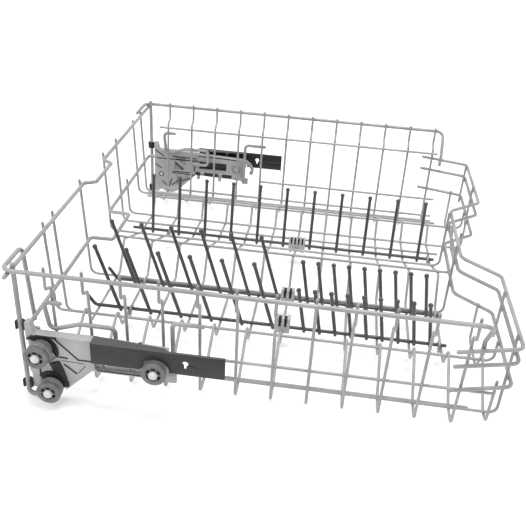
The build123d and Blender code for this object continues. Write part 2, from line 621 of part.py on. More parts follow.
def carrier():
    """Moulded carrier: bar, panelled plate, wheel wells, ledges, pegs and roller bosses."""
    bar = [(BAR_END, PANEL_TOP - 3), (BAR_END, BAR_LOW + 4), (BAR_END + 8, BAR_LOW + 4), (BAR_END + 8, BAR_LOW - 5),
           (BAR_END, BAR_LOW - 5), (BAR_END - 3, BAR_LOW), (PANEL_END - 1, BAR_LOW + 2)]
    panel = REAR_EDGE + [(PANEL_END, PANEL_TOP), (PANEL_END, BAR_LOW + 3), (PANEL_END - 1, BAR_LOW + 2)] + LOWER_EDGE
    panel.append((PLATE_REAR, 20.0))
    body = slab(REAR_EDGE + [(PANEL_END, PANEL_TOP)] + bar + LOWER_EDGE + GUIDE_TAB, CARRIER_IN, PLATE_OUT)
    slot_low = BAR_LOW + 2 * LEDGE
    body -= block(*WINDOW_X, BAR_LOW + WINDOW_RISE, PANEL_TOP - WINDOW_DROP, CARRIER_IN, PLATE_OUT)
    body -= disc(BAR_HOLE, BAR_HOLE_D, CARRIER_IN, PLATE_OUT)
    body -= block(*BAR_SLOT_X, slot_low, slot_low + BAR_SLOT_H, CARRIER_IN, PLATE_OUT)
    for corners in INNER_POCKETS:
        body -= slab(corners, CARRIER_IN, CARRIER_IN + POCKET_DEPTH)
    hub, rim = RING_POCKET
    pocket = disc(MIDDLE_AXLE, rim, CARRIER_IN, CARRIER_IN + POCKET_DEPTH)
    body -= pocket - disc(MIDDLE_AXLE, hub, CARRIER_IN, CARRIER_IN + POCKET_DEPTH)
    face = slab(panel, PLATE_OUT, PANEL_OUT)
    face -= disc(UPPER_AXLE, 2 * WELL_R, PLATE_OUT, PANEL_OUT)
    face -= disc(LOWER_AXLE, 2 * LOWER_WELL_R, PLATE_OUT, PANEL_OUT)
    for line in GROOVES:
        face -= slab(strip(line, GROOVE), PLATE_OUT, PANEL_OUT)
    body += face
    body += block(PLATE_REAR + 8.5, PANEL_END, PANEL_TOP - LEDGE, PANEL_TOP, PLATE_OUT, PANEL_OUT + LEDGE_REACH)
    body += block(PANEL_END - 2, BAR_END - 3, BAR_LOW, BAR_LOW + 2 * LEDGE, PLATE_OUT, PANEL_OUT)
    for x in PEG_XS:
        body += block(x - PEG_W / 2, x + PEG_W / 2, BAR_LOW - 5, BAR_LOW + LEDGE, CARRIER_IN, PANEL_OUT - 1)
    for place in AXLES:
        body += disc(place, BOSS_D, PLATE_OUT - 1, BOSS_OUT)
    for place in AXLES:
        body -= disc(place, AXLE_D + 2 * SEAT, CARRIER_IN + 1, BOSS_OUT)
    body += disc(RELEASE_PIVOT, RELEASE_PIN_D, PLATE_OUT - 1, PLATE_OUT + RELEASE_T + 2 * SIDE_CLEAR)
    return body


def rail_cover():
    """Dark cover over the bar: outer plate, top flange, rounded end and two standoffs."""
    x0 = PANEL_END + COVER_GAP
    outer = block(x0, COVER_END, COVER_LOW, COVER_TOP, COVER_OUT - COVER_T, COVER_OUT)
    outer -= disc(MIDDLE_AXLE, ROLLER_D + 2 * COVER_CUT, COVER_OUT - COVER_T, COVER_OUT)
    outer -= disc(KEYHOLE, KEYHOLE_D, COVER_OUT - COVER_T, COVER_OUT)
    kx, kz = KEYHOLE
    outer -= block(kx - 1.2, kx + 1.2, kz - KEYHOLE_D, kz, COVER_OUT - COVER_T, COVER_OUT)
    step_x = FLANGE_STEP_X
    plan = [(x0, PLATE_OUT), (x0, COVER_OUT), (COVER_END, COVER_OUT), (COVER_END, COVER_OUT - FLANGE_EDGE),
            (step_x, COVER_OUT - FLANGE_EDGE), (step_x, COVER_OUT - FLANGE_STEP)]
    flange = make_face(Polyline(*[(FIRST_X + x, -y) for x, y in plan], close=True))
    outer += Pos(0, 0, FLOOR + COVER_TOP - COVER_T) * extrude(flange, COVER_T, dir=(0, 0, 1))
    outer += block(COVER_END - COVER_T, COVER_END, COVER_LOW, COVER_TOP, COVER_OUT - FLANGE_EDGE, COVER_OUT)
    for z in (COVER_LOW + 6, COVER_LOW + 12):
        outer += block(kx + 10, COVER_END, z, z + 1, COVER_OUT - FLANGE_EDGE, COVER_OUT)
    for x in STANDOFF_XS:
        outer += block(x, x + STANDOFF_W, PANEL_TOP - 12, COVER_TOP - COVER_T / 2, PLATE_OUT + SEAT, COVER_OUT - COVER_T / 2)
    return outer


def post_guide(rise):
    """Dark clip that runs on the corner post, open to the rear."""
    z = FLOOR + rise
    ring = Pos(POST_X, -POST_Y, z) * Cylinder(POST_D / 2 + GUIDE_CLEAR + GUIDE_WALL, GUIDE_H)
    x1 = FIRST_X + PLATE_REAR - SEAT
    ring += Pos(x1, -PLATE_OUT, z) * Box(x1 - POST_X, GUIDE_WALL * 2, GUIDE_H,
                                         align=(Align.MAX, Align.CENTER, Align.CENTER))
    ring -= Pos(POST_X, -POST_Y, z) * Cylinder(POST_D / 2 + GUIDE_CLEAR, GUIDE_H)
    ring -= Pos(POST_X, -POST_Y, z) * Box(POST_D * 4, GUIDE_WALL, GUIDE_H, align=(Align.MAX, Align.CENTER, Align.CENTER))
    return ring


def release_lever():
    """Curved lever on its pivot, hooked at the free end."""
    px, pz = RELEASE_PIVOT
    line = [(px, pz), (px + 9, pz + 0.5), (px + 16, pz - 4), (px + 20.5, pz - 11), (px + 20, pz - 18)]
    inner = PLATE_OUT + SIDE_CLEAR
    arm = slab(strip(line, RELEASE_W), inner, inner + RELEASE_T)
    arm += disc(RELEASE_PIVOT, RELEASE_PIN_D + 4, inner, inner + RELEASE_T)
    arm += disc((px + 19, pz - 18), RELEASE_W + 1, inner, inner + RELEASE_T)
    return arm - disc(RELEASE_PIVOT, RELEASE_PIN_D + 2 * BORE_CLEAR, inner, inner + RELEASE_T)


def axle_pin(place):
    """Steel pin pressed into a boss, with the cap that keeps the roller on."""
    pin = disc(place, AXLE_D, CARRIER_IN + 1.5, ROLLER_OUT + SIDE_CLEAR)
    return pin + disc(place, CAP_D, ROLLER_OUT + SIDE_CLEAR, ROLLER_OUT + SIDE_CLEAR + CAP_H)


def roller(place):
    """Moulded roller: tread, groove, flange, spoked ring and hub."""
    step = ROLLER_OUT - FLANGE_W
    body = disc(place, TREAD_D, ROLLER_IN, step - GROOVE_W)
    body += disc(place, GROOVE_D, step - GROOVE_W, step)
    body += disc(place, ROLLER_D, step, ROLLER_OUT)
    ring = disc(place, RING_D, ROLLER_OUT - RING_DEPTH, ROLLER_OUT)
    ring -= disc(place, HUB_D, ROLLER_OUT - RING_DEPTH, ROLLER_OUT)
    x, z = place
    for index in range(SPOKES // 2):
        spoke = Box(RING_D, RING_DEPTH * 2, SPOKE_W)
        ring -= Pos(FIRST_X + x, -ROLLER_OUT, FLOOR + z) * Rot(0, 360 / SPOKES * index, 0) * spoke
    body -= ring
    return body - disc(place, AXLE_D + 2 * BORE_CLEAR, ROLLER_IN, ROLLER_OUT)


NAMES = ("upper", "lower", "middle")
left = {"carrier": [carrier()], "rail_cover": [rail_cover()], "release_lever": [release_lever()],
        "post_guides": [post_guide(rise) for rise in GUIDE_RISES], "axle_pins": [axle_pin(p) for p in AXLES]}
for name, place in zip(NAMES, AXLES):
    left[f"{name}_roller"] = [roller(place)]
for name, solids in left.items():
    save(f"left_{name}", *solids)
    save(f"right_{name}", *[right_of(solid) for solid in solids])
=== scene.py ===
import json

import bpy
import numpy as np
from mathutils import Matrix, Vector


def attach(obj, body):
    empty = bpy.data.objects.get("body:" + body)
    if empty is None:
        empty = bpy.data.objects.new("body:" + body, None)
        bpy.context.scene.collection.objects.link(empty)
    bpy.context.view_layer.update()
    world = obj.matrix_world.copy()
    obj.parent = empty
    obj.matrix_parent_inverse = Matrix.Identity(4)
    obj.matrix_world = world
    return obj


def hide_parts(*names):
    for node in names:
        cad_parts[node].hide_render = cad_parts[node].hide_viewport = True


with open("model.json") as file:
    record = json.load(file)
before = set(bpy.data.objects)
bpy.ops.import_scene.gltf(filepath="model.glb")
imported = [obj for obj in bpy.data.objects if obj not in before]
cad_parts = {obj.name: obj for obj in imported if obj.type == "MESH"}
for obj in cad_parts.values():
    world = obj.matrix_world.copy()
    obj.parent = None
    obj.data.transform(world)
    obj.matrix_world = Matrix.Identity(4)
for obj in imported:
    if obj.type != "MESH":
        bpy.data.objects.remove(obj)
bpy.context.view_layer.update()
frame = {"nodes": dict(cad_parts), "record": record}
MM = 0.001


# Camera and lamps

# Focal length and picture width in pixels, and the depth of the view in metres
SENSOR_MM = 36.0
FOCAL_PX, PICTURE_PX = 720.5, 526
VIEW_DEPTH = 20.0


def look_through(place, yaw, pitch, roll, lens):
    """Camera whose axes come from a heading, a tilt and a turn about the line of sight, in degrees."""
    y, p, r = np.radians([yaw, pitch, roll])
    sight = np.array([np.sin(y) * np.cos(p), np.cos(y) * np.cos(p), -np.sin(p)])
    level = np.array([np.cos(y), -np.sin(y), 0.0])
    upward = np.cross(level, sight)
    turn = np.eye(4)
    turn[:3, 0] = np.cos(r) * level + np.sin(r) * upward
    turn[:3, 1] = -np.sin(r) * level + np.cos(r) * upward
    turn[:3, 2] = -sight
    turn[:3, 3] = place
    data = bpy.data.cameras.new("camera")
    data.lens = lens
    data.sensor_width = SENSOR_MM
    data.clip_end = VIEW_DEPTH
    camera = bpy.data.objects.new("camera", data)
    camera.matrix_world = Matrix(turn.tolist())
    bpy.context.scene.collection.objects.link(camera)
    bpy.context.scene.camera = camera


def softbox(name, place, target, size, watts):
    """Square area light at a place, facing a target."""
    data = bpy.data.lights.new(name, "AREA")
    data.size = size
    data.energy = watts
    lamp = bpy.data.objects.new(name, data)
    lamp.location = place
    lamp.rotation_euler = (Vector(target) - Vector(place)).to_track_quat("-Z", "Y").to_euler()
    bpy.context.scene.collection.objects.link(lamp)


look_through(place=(0.0492, -0.8081, 0.5166), yaw=-5.284, pitch=30.275, roll=3.74,
             lens=SENSOR_MM * FOCAL_PX / PICTURE_PX)
softbox("top_light", place=(0.1, -0.1, 2.3), target=(0, 0, 0), size=0.9, watts=34)
softbox("left_light", place=(-1.5, -1.4, 1.5), target=(0, 0, 0.05), size=0.9, watts=12)


# Materials

def linear(hex_colour):
    """sRGB hex to a linear RGBA colour."""
    srgb = np.array([int(hex_colour[i:i + 2], 16) for i in (1, 3, 5)]) / 255
    rgb = np.where(srgb <= 0.04045, srgb / 12.92, ((srgb + 0.055) / 1.055) ** 2.4)
    return (*rgb.tolist(), 1.0)


def add(tree, kind, settings=None, values=None, links=None):
    """Adds a node: settings go on the node, values on its inputs, links join outputs to its inputs."""
    node = tree.nodes.new(kind)
    for key, value in (settings or {}).items():
        setattr(node, key, value)
    for key, value in (values or {}).items():
        node.inputs[key].default_value = value
    for key, output in (links or {}).items():
        tree.links.new(output, node.inputs[key])
    return node


# Studio: bright overhead, dim lower down, so that round wires get a dark edge, and pale again where it
# meets the floor. Each stop is the upward part of a direction and the grey that is seen there.
SKY_STOPS = ((0.0, 0.74), (0.25, 0.40), (1.0, 1.0))
SKY_STRENGTH = 1.28
world = bpy.data.worlds.new("studio")
world.use_nodes = True
sky = world.node_tree
outward = add(sky, "ShaderNodeTexCoord").outputs["Generated"]
heading = add(sky, "ShaderNodeSeparateXYZ", links={"Vector": outward})
shade = add(sky, "ShaderNodeValToRGB", links={"Fac": heading.outputs["Z"]})
ramp = shade.color_ramp.elements
ramp.new(0.5)
for stop, (upward, grey) in zip(ramp, SKY_STOPS):
    stop.position = upward
    stop.color = (grey, grey, grey, 1)
sky.links.new(shade.outputs["Color"], sky.nodes["Background"].inputs["Color"])
sky.nodes["Background"].inputs["Strength"].default_value = SKY_STRENGTH
bpy.context.scene.world = world
bpy.context.scene.view_settings.view_transform = "Standard"

# Sockets of the Mix node that carry colours; those for numbers have the same names
MIX_SHARE, MIX_FIRST, MIX_SECOND, MIX_RESULT = 0, 6, 7, 2
# Noise values that lead from one colour to the other, upward parts of a normal that lead to the painted
# top light
MOTTLE_SPAN = {"From Min": 0.35, "From Max": 0.65}
PAINTED_TOP_LIGHT_SPAN = {"From Min": 0.6, "From Max": 0.98, "To Max": 0.85}
BUMP_STRENGTH = 0.6


def noise(tree, place, size_mm, detail):
    """Noise whose features are about a size across."""
    values = {"Scale": 1000 / size_mm, "Detail": detail}
    return add(tree, "ShaderNodeTexNoise", values=values, links={"Vector": place}).outputs["Fac"]


def remap(tree, value, span):
    """A value carried from one span to another, 0 to 1 where an end isn't given."""
    return add(tree, "ShaderNodeMapRange", values=span, links={"Value": value}).outputs["Result"]


def mix(tree, values, links):
    """A colour between two, by a share."""
    return add(tree, "ShaderNodeMix", {"data_type": "RGBA"}, values, links).outputs[MIX_RESULT]


def moulded(name, low, high, rough, grain_mm, bump_mm, mottle_mm=35.0, metallic=0.0, ior=1.5,
            painted_top_light=None):
    """Two near colours mottled over a surface, with a fine grain that sets roughness and bump.

    A painted top light, where given, pales the faces that lie level, as light from above would."""
    material = bpy.data.materials.new(name)
    material.use_nodes = True
    tree = material.node_tree
    shader = tree.nodes["Principled BSDF"]
    shader.inputs["Metallic"].default_value = metallic
    shader.inputs["IOR"].default_value = ior
    place = add(tree, "ShaderNodeTexCoord").outputs["Object"]
    mottle = remap(tree, noise(tree, place, mottle_mm, detail=3.0), MOTTLE_SPAN)
    grain = noise(tree, place, grain_mm, detail=4.0)
    colour = mix(tree, {MIX_FIRST: linear(low), MIX_SECOND: linear(high)}, {MIX_SHARE: mottle})
    # Painted light: faces that point up are mixed towards a paler grey, as if lit from above
    if painted_top_light:
        normal = add(tree, "ShaderNodeNewGeometry").outputs["Normal"]
        facing = add(tree, "ShaderNodeSeparateXYZ", links={"Vector": normal})
        level = remap(tree, facing.outputs["Z"], PAINTED_TOP_LIGHT_SPAN)
        colour = mix(tree, {MIX_SECOND: linear(painted_top_light)}, {MIX_SHARE: level, MIX_FIRST: colour})
    tree.links.new(colour, shader.inputs["Base Color"])
    roughness = remap(tree, grain, {"To Min": rough[0], "To Max": rough[1]})
    tree.links.new(roughness, shader.inputs["Roughness"])
    bump = add(tree, "ShaderNodeBump", values={"Strength": BUMP_STRENGTH, "Distance": bump_mm * MM},
               links={"Height": grain})
    tree.links.new(bump.outputs["Normal"], shader.inputs["Normal"])
    return material


finishes = {
    # Nylon dip coating on steel wire: satin, with a faint orange peel and slightly uneven tone
    "grey_coated_wire": moulded("nylon_coat_grey", "#868686", "#969696", rough=(0.20, 0.32),
                                grain_mm=1.6, bump_mm=0.06, ior=1.53),
    "dark_coated_wire": moulded("nylon_coat_dark", "#323232", "#404040", rough=(0.22, 0.34),
                                grain_mm=1.6, bump_mm=0.06, ior=1.53),
    # Injection-moulded acetal: pale and even, fine spark-eroded grain
    "grey_plastic": moulded("acetal_pale", "#999999", "#A6A6A6", rough=(0.36, 0.52),
                            grain_mm=0.8, bump_mm=0.03, ior=1.48),
    # Injection-moulded polypropylene: dark, matte, faint flow marks, with painted light that pales its
    # top faces
    "dark_plastic": moulded("polypropylene_dark", "#191919", "#212121", rough=(0.42, 0.60),
                            grain_mm=0.8, bump_mm=0.04, mottle_mm=18.0, painted_top_light="#4A4A4A"),
    # Injection-moulded acetal, mid grey, polished on its tread
    "roller_plastic": moulded("acetal_mid", "#5C5C5C", "#6A6A6A", rough=(0.32, 0.48),
                              grain_mm=0.9, bump_mm=0.03, mottle_mm=9.0, ior=1.48),
    # Turned and polished steel: bright, with a soft mirror
    "axle_steel": moulded("turned_steel", "#C4C4C4", "#D8D8D8", rough=(0.25, 0.4),
                          grain_mm=0.5, bump_mm=0.01, mottle_mm=4.0, metallic=0.9),
}
# Pale acetal of the axle caps: smooth, with a soft highlight
cap_acetal = moulded("acetal_cap", "#BEBEBE", "#CACACA", rough=(0.34, 0.46),
                     grain_mm=0.9, bump_mm=0.02, mottle_mm=5.0, ior=1.48)
# Near black and dull: the colour of the black guide clasps and brake sleeve, and painted shade in the
# wheel well, the panel's gaps, along the inner ribs, in the clip slots and in the rollers' face recesses,
# where no light gets in
black_and_painted_shade = moulded("near_black_and_recess_shade", "#060606", "#0C0C0C", rough=(0.5, 0.65),
                       grain_mm=0.8, bump_mm=0.02, mottle_mm=6.0)
# Acetal of the rollers' ridges: paler and smoother than the rest of the roller
ridge_acetal = moulded("acetal_ridge", "#868686", "#9A9A9A", rough=(0.22, 0.34),
                      grain_mm=0.9, bump_mm=0.02, mottle_mm=3.0, ior=1.48)


# CAD nodes: corners nearer than JOIN metres are one, edges bent by less than SMOOTH degrees shade smooth,
# and moulded edges bent by more than CREASE degrees are rounded. CREASE keeps new pieces' edges sharp.
JOIN = 1e-6
SMOOTH, CREASE = 32.0, 40.0
EDGE_ROUND, EDGE_STEPS = 0.35 * MM, 2
MOULDED = ("carrier", "rail_cover", "release_lever", "post_guides", "centre_clips", "roller",
           "axle_pins")


def shade_by_angle(name, limit):
    """Node tree that joins loose corners and shades smooth across edges flatter than a limit."""
    tree = bpy.data.node_groups.new(name, "GeometryNodeTree")
    for direction in ("INPUT", "OUTPUT"):
        tree.interface.new_socket("Geometry", in_out=direction, socket_type="NodeSocketGeometry")
    start = add(tree, "NodeGroupInput")
    joined = add(tree, "GeometryNodeMergeByDistance", values={"Distance": JOIN},
                 links={0: start.outputs[0]})
    smooth = add(tree, "GeometryNodeSetShadeSmooth", {"domain": "FACE"}, links={0: joined.outputs[0]})
    angle = add(tree, "GeometryNodeInputMeshEdgeAngle")
    flat = add(tree, "FunctionNodeCompare", {"data_type": "FLOAT", "operation": "LESS_THAN"},
               values={1: np.radians(limit)}, links={0: angle.outputs["Unsigned Angle"]})
    creased = add(tree, "GeometryNodeSetShadeSmooth", {"domain": "EDGE"},
                  links={0: smooth.outputs[0], "Shade Smooth": flat.outputs[0]})
    add(tree, "NodeGroupOutput", links={0: creased.outputs[0]})
    return tree


shading = shade_by_angle("smooth_faces", SMOOTH)
slots = {row["node"]: row["material_slot"] for row in frame["record"]["subparts"]}
for name, node in frame["nodes"].items():
    node.data.materials.clear()
    node.data.materials.append(finishes[slots[name]])
    if name.endswith(MOULDED):
        weld = node.modifiers.new("join", "WELD")
        weld.merge_threshold = JOIN
        bevel = node.modifiers.new("moulded_edges", "BEVEL")
        bevel.width = EDGE_ROUND
        bevel.segments = EDGE_STEPS
        bevel.limit_method = "ANGLE"
        bevel.angle_limit = np.radians(CREASE)
    node.modifiers.new("shading", "NODES").node_group = shading


# New pieces, drawn in millimetres, with points told apart by their first six decimals
DECIMALS = 6
BALL_ROUND, BALL_DOWN = 8, 6
TURN_STEPS, ARCH_STEPS, CLASP_STEPS, BAR_STEPS, FIN_STEPS = 40, 28, 30, 14, 20


def skin(grid):
    """Faces of a grid of points whose columns close on themselves.

    Points that meet are joined, so a row drawn to one place becomes a closed pole and equal first and
    last rows close a ring. The sum of the corner triple products is six times the volume: where it is
    negative, the faces are turned round."""
    rows, cols = grid.shape[:2]
    i, j = np.meshgrid(np.arange(rows - 1), np.arange(cols), indexing="ij")
    k = (j + 1) % cols
    here, there = i * cols, (i + 1) * cols
    quads = np.stack([here + j, here + k, there + k, there + j], -1).reshape(-1, 4)
    points = grid.reshape(-1, 3)
    a, b, c, d = (points[quads[:, n]] - points.mean(0) for n in range(4))
    volume = np.sum(np.cross(a, b) * c) + np.sum(np.cross(a, c) * d)
    if volume < 0:
        quads = quads[:, ::-1]
    verts, spot = np.unique(np.round(points, DECIMALS), axis=0, return_inverse=True)
    quads = spot.reshape(-1)[quads]
    same = quads == np.roll(quads, -1, axis=1)
    meeting = same.sum(1)
    poles = quads[meeting == 1]
    return verts, quads[meeting == 0], poles[~same[meeting == 1]].reshape(-1, 3)


def capped(grid):
    """Skin of a grid with its first and last rows drawn to their middles."""
    ends = np.repeat(grid[[0, -1]].mean(1)[:, None], grid.shape[1], axis=1)
    return skin(np.concatenate([ends[:1], grid, ends[1:]]))


def piece(name, parts, body, slot, material=None):
    """One smooth-shaded mesh object from several skins, at the origin, riding on a body."""
    verts, faces, count = [], [], 0
    for points, quads, tris in parts:
        verts.append(points)
        faces += (quads + count).tolist() + (tris + count).tolist()
        count += len(points)
    mesh = bpy.data.meshes.new(name)
    mesh.from_pydata(np.vstack(verts) * MM, [], faces)
    mesh.polygons.foreach_set("use_smooth", np.ones(len(faces), dtype=bool))
    mesh.set_sharp_from_angle(angle=np.radians(CREASE))
    mesh.materials.append(material or finishes[slot])
    shape = bpy.data.objects.new(name, mesh)
    bpy.context.scene.collection.objects.link(shape)
    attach(shape, body)
    return shape


def whole_turn(steps):
    """Angles of a whole turn in even steps."""
    return np.linspace(0, 2 * np.pi, steps, endpoint=False)


def beads(centres, radius):
    """Copies of one ball: angle round the upright axis by angle down from the top, times a radius."""
    turn = whole_turn(BALL_ROUND)
    down = np.linspace(0, np.pi, BALL_DOWN)[:, None]
    ring = np.sin(down)
    ball = np.stack([ring * np.cos(turn), ring * np.sin(turn), np.cos(down) + 0 * turn], -1)
    unit, quads, tris = skin(ball)
    verts = centres[:, None] + unit * radius
    shift = len(unit) * np.arange(len(centres))[:, None, None]
    return verts.reshape(-1, 3), (quads + shift).reshape(-1, 4), (tris + shift).reshape(-1, 3)


def about_axle(place, side, profile, turn):
    """A profile of (radius, half width) points at each angle about a crosswise axis through (x, z)."""
    radius, across = np.array(profile, dtype=float).T
    turn = turn[:, None]
    x, z = place
    return np.stack([x + radius * np.cos(turn), side * across + 0 * turn,
                     z + radius * np.sin(turn)], -1)


def turned(place, side, profile):
    """A profile carried right round an axle, in rings from its first point to its last."""
    return skin(about_axle(place, side, profile, whole_turn(TURN_STEPS)).transpose(1, 0, 2))


def arched(place, side, profile, first, last):
    """A closed profile carried about an axle from one angle to another, in degrees, and capped."""
    return capped(about_axle(place, side, profile, np.radians(np.linspace(first, last, ARCH_STEPS))))


def beside(line, width):
    """A line of (x, z) points and its normals, half a width long."""
    line = np.array(line, dtype=float)
    along = np.gradient(line, axis=0)
    across = np.stack([-along[:, 1], along[:, 0]], 1)
    return line, across / np.linalg.norm(along, axis=1)[:, None] * width / 2


def strip(line, side, width, inner, outer):
    """A flat bar along a line of (x, z) points: plus and minus its normal, at two half widths."""
    line, normal = beside(line, width)
    a, b = line + normal, line - normal
    corners = ((a, inner), (b, inner), (b, outer), (a, outer))
    return capped(np.stack([np.insert(flat, 1, side * y, axis=1) for flat, y in corners], 1))


def crowned(line, side, width, base, rise):
    """A half-round bar along a line of (x, z) points: its normal times a cosine, out by a sine."""
    line, normal = beside(line, width)
    turn = np.linspace(0, np.pi, BAR_STEPS)
    flat = line[:, None] + normal[:, None] * np.cos(turn)[:, None]
    out = side * (base + rise * np.sin(turn)) + 0 * flat[:, :, 0]
    return capped(np.stack([flat[:, :, 0], out, flat[:, :, 1]], -1))


# Lines of the basket. Rises are over the floor's lowest runs, which lie FLOOR over the posts' feet.
FLOOR = 17.5
FIRST_X, CROSS_PITCH, CROSS_COUNT = -209.1, 37.0, 12
CROSS_X = FIRST_X + CROSS_PITCH * np.arange(CROSS_COUNT)
LAST_X = CROSS_X[-1]
# Front rails, their step at the hand recess, rear rim and rear lower rail
FRONT_X, RECESS_X, REAR_RIM_X, REAR_RAIL_X = 249.4, 208.9, -244.3, -240.5
RIM_RISE, REAR_RIM_RISE, REAR_RAIL_RISE = 137.0, 132.4, 58.5
RAIL_RISES = (98.5, 80.5, 50.0)
# Radii of cross and long wires, rails, rims and corner posts
WIRE_R, RAIL_R, RIM_R, POST_R = 1.6, 2.1, 2.3, 2.5
# Corners (y, rise) of a cross wire's floor, three of which are ridges, and the radius of its bends
SECTION = np.array([(-235, 0), (-208, 0), (-156, 33.5), (-141, 5), (-28, 5), (-4, 41),
                    (75, 9), (106, 9), (141, 5), (156, 33.5), (208, 0), (235, 0)], dtype=float)
LEFT_RIDGE, MIDDLE_RIDGE, RIGHT_RIDGE = 2, 5, 9
BEND = 6.0
# Half width of the walls at the floor, and how far they lean out over a height
WALL_FOOT, WALL_LEAN, WALL_HIGH = 235, 7, 113.5
# The long wires' y: left edge and valley, middle, slope, terrace, right valley, slope and edge
LONG_Y = np.array([-214.0, -131.0, -44.0, 44.0, 100.0, 131.0, 182.0, 224.0])
RIGHT_SLOPE, RIGHT_EDGE = 6, 7
# The short uprights' y on the front rails and in the hand recess, the rims' y, the cross wires' ends
UPRIGHT_Y, RECESS_UPRIGHT_Y = (-214.0, -135.8, 135.8, 214.0), (-44.0, 44.0)
RIM_Y = (-255.6, 255.6)
CROSS_END_Y, CROSS_END_RISE = (-254.0, 254.0), 141.5
# The wall wires' sides and rises, those of the short ones, and the cross wire where these start
WALL_WIRES = ((-1, 21.5), (1, 108.0), (1, 8.0))
SHORT_WALL_WIRES = ((-1, 44.0), (1, 35.5))
SHORT_START = 5
SIDES = (-1, 1)


def on_floor(y):
    """Where long wires touch the cross wires: the floor line plus its normal times a wire's radius."""
    run = np.clip(np.searchsorted(SECTION[:, 0], y) - 1, 0, len(SECTION) - 2)
    along = SECTION[run + 1] - SECTION[run]
    along /= np.linalg.norm(along, axis=1)[:, None]
    foot = np.stack([y, np.interp(y, *SECTION.T)], 1)
    return foot + WIRE_R * np.stack([-along[:, 1], along[:, 0]], 1)


def crown(corner, reach):
    """Point over the middle of a bend: its centre plus its radius and a reach upwards."""
    here = SECTION[corner]
    a, c = ((SECTION[n] - here) / np.linalg.norm(SECTION[n] - here) for n in (corner - 1, corner + 1))
    half = np.arccos(a @ c) / 2
    return here + (a + c) / np.linalg.norm(a + c) * BEND / np.sin(half) + [0, BEND + reach]


def wall(side, rise, reach):
    """Point beside a wall's cross wires: their leaning line at a rise, plus a reach outwards."""
    return np.array([side * (WALL_FOOT + WALL_LEAN * rise / WALL_HIGH + reach), rise])


def crossing(xs, spots):
    """Every x with every (y, rise)."""
    xs, spots = np.asarray(xs, dtype=float), np.atleast_2d(spots)
    grid = np.empty((len(xs), len(spots), 3))
    grid[:, :, 0] = xs[:, None]
    grid[:, :, 1] = spots[:, 0]
    grid[:, :, 2] = spots[:, 1] + FLOOR
    return grid.reshape(-1, 3)


def each(ys, rises):
    """Every y with every rise."""
    return [(y, rise) for y in ys for rise in rises]


# Weld spots under the coating, where wires cross
FINE_WELD, HEAVY_WELD = 1.75, 2.0
floor_spots = on_floor(LONG_Y)
ridge_spots = [crown(LEFT_RIDGE, -WIRE_R), crown(RIGHT_RIDGE, -WIRE_R), crown(MIDDLE_RIDGE, WIRE_R)]
wall_spots = [wall(*place, -WIRE_R) for place in WALL_WIRES]
short_wall_spots = [wall(*place, -WIRE_R) for place in SHORT_WALL_WIRES]
rail_ends = [wall(side, rise, WIRE_R) for side in SIDES for rise in RAIL_RISES]
rear_ys = [crown(LEFT_RIDGE, 0)[0], *LONG_Y[1:5], floor_spots[RIGHT_SLOPE, 0], LONG_Y[RIGHT_EDGE]]
fine = np.vstack([
    crossing(CROSS_X, floor_spots),
    crossing(CROSS_X, ridge_spots),
    crossing(CROSS_X, wall_spots),
    crossing(CROSS_X[SHORT_START:], short_wall_spots),
])
heavy = np.vstack([
    crossing(CROSS_X, each(RIM_Y, [RIM_RISE])),
    crossing([LAST_X], rail_ends),
    crossing([FRONT_X - RAIL_R], each(UPRIGHT_Y, RAIL_RISES)),
    crossing([RECESS_X - RAIL_R], each(RECESS_UPRIGHT_Y, RAIL_RISES)),
    crossing([REAR_RIM_X - RIM_R], each(rear_ys, [REAR_RIM_RISE])),
    crossing([REAR_RAIL_X - RIM_R], each(rear_ys, [REAR_RAIL_RISE])),
])
piece("weld_spots", [beads(fine, FINE_WELD), beads(heavy, HEAVY_WELD)], "basket", "grey_coated_wire")

# Coating drawn round over the wires' cut ends: (y, z) of the ends in each plane across the basket,
# z from the posts' feet
FINE_ENDS = {
    -248.5: [(-158.3, 154.4), (-131.0, 154.4), (-44.0, 154.4), (45.2, 154.4)],
    -248.3: [(183.7, 151.5), (224.0, 151.5)],
    -244.6: [(131.4, 80.5)],
    -221.1: [(-214.0, 20.7), (-1.7, 60.3), (158.3, 45.2), (-233.1, 39.0), (238.4, 125.5),
             (232.3, 25.5)],
    -59.1: [(-234.5, 61.5), (234.0, 53.0)],
    203.9: [(238.4, 125.5)],
    205.2: [(-44.0, 120.5), (45.2, 120.5)],
    209.9: [(-233.1, 39.0), (-1.7, 60.3), (183.7, 37.0), (224.0, 20.7), (232.3, 25.5),
            (234.0, 53.0)],
    230.9: [(-234.5, 61.5)],
    233.9: [(-228.3, 72.0), (-87.8, 72.0), (87.8, 72.0), (228.3, 72.0)],
    238.4: [(-131.0, 25.7)],
    245.7: [(-214.0, 120.5), (-135.8, 120.5), (135.8, 120.5), (214.0, 120.5), (-135.8, 63.0),
            (135.8, 63.0), (214.0, 63.0), (-158.3, 72.0), (131.4, 72.0), (158.3, 72.0)],
}
RAIL_ENDS = {
    185.9: [(-245.2, 67.5), (-247.1, 98.0), (-248.2, 116.0),
            (245.2, 67.5), (247.1, 98.0), (248.2, 116.0)],
}
HEAVY_ENDS = {
    -249.2: [(210.0, 154.5)],
    -244.6: [(-210.0, 67.0)],
    -244.3: [(-262.9, 149.9), (262.9, 149.9)],
    -228.5: [(-238.0, 76.0), (238.0, 76.0)],
    -200.1: [(-244.9, 114.5), (244.9, 114.5)],
    -176.1: [(-242.0, 67.5), (242.0, 67.5)],
    -102.1: [(-241.0, 50.5), (241.0, 50.5)],
    -57.1: [(-244.4, 107.0), (244.4, 107.0)],
    210.5: [(-237.0, 109.5), (237.0, 109.5)],
}
POST_ENDS = {
    -239.5: [(-253.1, 159.0), (253.1, 159.0)],
    -225.5: [(-253.1, 2.5), (253.1, 2.5)],
}


def listed(planes):
    """One (x, y, z) row for each end in a table of planes."""
    return np.vstack([np.insert(np.array(spots), 0, x, axis=1) for x, spots in planes.items()])


